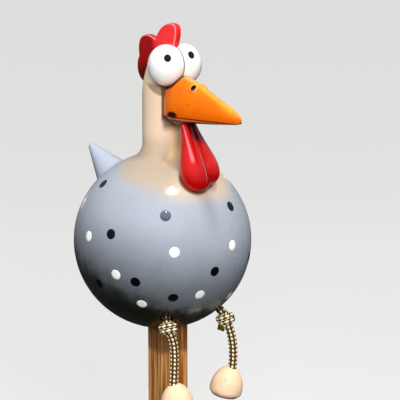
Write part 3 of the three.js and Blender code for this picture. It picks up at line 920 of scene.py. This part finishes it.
# Each nostril is a pit in a low mound. A slot is sunk in each corner of the mouth.
mound_offset = (0, 1, -1.1)
mound_radii = (3.8, 4.2, 1.4)
pit_radii = (2.8, 2.1, 3)
slot_tilt = -0.12
slot_radii = (2.6, 5, 1.9)
cut = []
for sign in (-1, 1):
    nostril_place = stood(nostril_at(sign), Vector((sign * 0.75, -0.2, 0.63)))
    mound_place = nostril_place @ Matrix.Translation(mound_offset)
    slot_place = Matrix.Translation(corner_at(sign)) @ Matrix.Rotation(slot_tilt, 4, "X")
    added.append(shaped(ball(mound_place, mound_radii, 36, 24), beak_paint))
    cut.append(shaped(ball(nostril_place, pit_radii, 28, 18), hollow_shade_paint))
    cut.append(shaped(ball(slot_place, slot_radii, 28, 18), hollow_shade_paint))

# Under the body are the two holes for the cords and the square socket for the stake.
hole_radius = 5.8
hole_depth = 13
hole_outside = 4
for leg in legs:
    bm = turned(
        [(0, -hole_depth), (hole_radius, -hole_depth), (hole_radius, hole_outside), (0, hole_outside)], 48
    )
    bm.transform(stood(leg["mouth"], leg["mouth"]))
    cut.append(shaped(bm, hollow_shade_paint))
stake_side = 25.5
stake_turn = math.radians(-8)
socket_play = 0.6
socket_depth = 45.3
socket_outside = 20
socket_side = stake_side + socket_play
socket_middle = (socket_depth - socket_outside) / 2 - body_radius
bm = bmesh.new()
bmesh.ops.create_cube(bm, size=1)
bm.transform(
    Matrix.Translation((0, -body_middle.y, socket_middle)) @ Matrix.Rotation(stake_turn, 4, "Z")
    @ Matrix.Diagonal((socket_side, socket_side, socket_depth + socket_outside, 1))
)
cut.append(shaped(bm, hollow_shade_paint))

# All shapes are joined into one skin and the hollows are cut from it. Each face keeps its paint.
for operation, shapes in (("UNION", added), ("DIFFERENCE", cut)):
    for shape in shapes:
        join = torso.modifiers.new("join", "BOOLEAN")
        join.operation = operation
        join.object = shape
        join.solver = "MANIFOLD"
        join.material_mode = "TRANSFER"
bpy.context.view_layer.update()
whole = torso.evaluated_get(bpy.context.evaluated_depsgraph_get())
casting = bpy.data.meshes.new_from_object(whole)
for shape in [torso, *added, *cut]:
    bpy.data.objects.remove(shape)
casting.name = "chicken_skin"
casting.shade_smooth()
casting.set_sharp_from_angle(angle=math.radians(32))
chicken = bpy.data.objects.new("chicken_casting", casting)
bpy.context.scene.collection.objects.link(chicken)
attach(chicken, "root")
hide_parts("chicken")


# Stake
# A square post of sawn softwood with its grain running up it, glued into the socket under the body.
# Its lower end is cut flat where it meets the ground.
timber = Finish("stake_wood", roughness=0.7, specular_ior_level=0.3)
timber_spot = timber.place()
timber_long = timber.stretched(timber_spot, (1, 1, 0.03))
timber_rings = timber.noise(timber_long, 2.6, 4, 0.6)
timber_fine = timber.noise(timber_long, 0.7, 3, 0.6)
timber_colour = timber.mix(timber.ramp(timber_rings, 0.4, 0.6), tint(146, 84, 34), tint(228, 166, 98))
timber_colour = timber.mix(timber.ramp(timber_fine, 0.5, 0.72) * 0.7, timber_colour, tint(92, 50, 18))
# Painted shade darkens the face of the post towards the chicken's right.
timber_side = timber.dot(timber_spot, (math.cos(stake_turn), math.sin(stake_turn), 0))
timber_shade = timber.ramp(timber_side, -11.9, -12.5)
timber_colour = timber.mix(timber_shade * 0.55, timber_colour, tint(84, 46, 16))
# A painted shadow of the body darkens the top of the post.
timber_top_shadow = timber.ramp(timber.dot(timber_spot, upwards).wander(timber_rings, 6), -97, -91)
timber_colour = timber.mix(timber_top_shadow * 0.6, timber_colour, tint(70, 36, 12))
timber.apply(base_color=timber_colour, relief=timber_rings * 0.6 + timber_fine * 0.5, depth=0.0007)
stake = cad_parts["stake"]
stake.data.materials.clear()
stake.data.materials.append(timber.material)


# Floor and light
# A plain pale floor in a plain pale room. A soft sun stands nearly overhead, a large lamp in front, a weaker
# one at the chicken's right, and two small ones behind it light its outline. The floor and the larger lamps
# don't show in the lacquer, and the floor sends no light up, so that the underside keeps its shade.
floor_reach = 40
floor_paint = Finish("floor", roughness=0.9, base_color=tint(205, 205, 204), specular_ior_level=0.2)
bm = bmesh.new()
bmesh.ops.create_grid(bm, x_segments=1, y_segments=1, size=floor_reach)
floor_mesh = bpy.data.meshes.new("floor")
bm.to_mesh(floor_mesh)
bm.free()
floor_mesh.materials.append(floor_paint.material)
floor = bpy.data.objects.new("floor", floor_mesh)
bpy.context.scene.collection.objects.link(floor)
floor.visible_glossy = False
floor.visible_diffuse = False

# For each lamp: the way to it, its distance, its width (as an angle for the sun), its power and its colour.
lamps = [
    ("key", "SUN", (0.02, -0.28, 0.96), 0, math.radians(9), 1.8, (1, 0.97, 0.92)),
    ("front", "AREA", (-0.42, -0.82, 0.36), 1.6, 0.9, 22, (1, 0.98, 0.95)),
    ("side", "AREA", (-0.88, -0.3, 0.3), 1.6, 0.7, 4, (1, 1, 1)),
    ("rim_left", "AREA", (0.198, 0.98, 0.022), 1.5, 0.12, 0.15, (1, 1, 1)),
    ("rim_right", "AREA", (0.791, 0.605, 0.08), 1.5, 0.12, 0.12, (1, 1, 1)),
]
for name, kind, way, distance, width, power, colour in lamps:
    light = bpy.data.lights.new(name, kind)
    if kind == "SUN":
        light.angle = width
    else:
        light.shape = "DISK"
        light.size = width
    light.energy = power
    light.color = colour
    lamp = bpy.data.objects.new(name, light)
    away = Vector(way).normalized()
    lamp.location = to_metres @ Vector((0, 0, 0)) + away * distance
    lamp.rotation_euler = (-away).to_track_quat("-Z", "Y").to_euler()
    lamp.visible_camera = False
    lamp.visible_glossy = name not in ("front", "side")
    bpy.context.scene.collection.objects.link(lamp)

# The room is dark below and pale above in what the lacquer mirrors, and evenly pale behind the chicken.
sky_shades = {"From Min": -0.2, "From Max": 0.55, "To Min": 0.04, "To Max": 0.75}
sky_behind = 0.8
sky_colour = (0.93, 0.97, 1, 1)
sky = bpy.data.worlds.new("sky")
sky.use_nodes = True
sky_nodes = sky.node_tree.nodes
sky_links = sky.node_tree.links
sky_way = sky_nodes.new("ShaderNodeTexCoord")
sky_height = sky_nodes.new("ShaderNodeSeparateXYZ")
sky_fade = sky_nodes.new("ShaderNodeMapRange")
for socket, value in sky_shades.items():
    sky_fade.inputs[socket].default_value = value
sky_seen = sky_nodes.new("ShaderNodeLightPath")
sky_strength = sky_nodes.new("ShaderNodeMix")
sky_strength.inputs["B"].default_value = sky_behind
sky_nodes["Background"].inputs["Color"].default_value = sky_colour
sky_links.new(sky_way.outputs["Generated"], sky_height.inputs[0])
sky_links.new(sky_height.outputs["Z"], sky_fade.inputs["Value"])
sky_links.new(sky_seen.outputs["Is Camera Ray"], sky_strength.inputs["Factor"])
sky_links.new(sky_fade.outputs[0], sky_strength.inputs["A"])
sky_links.new(sky_strength.outputs[0], sky_nodes["Background"].inputs["Strength"])
bpy.context.scene.world = sky
bpy.context.scene.view_settings.view_transform = "Standard"
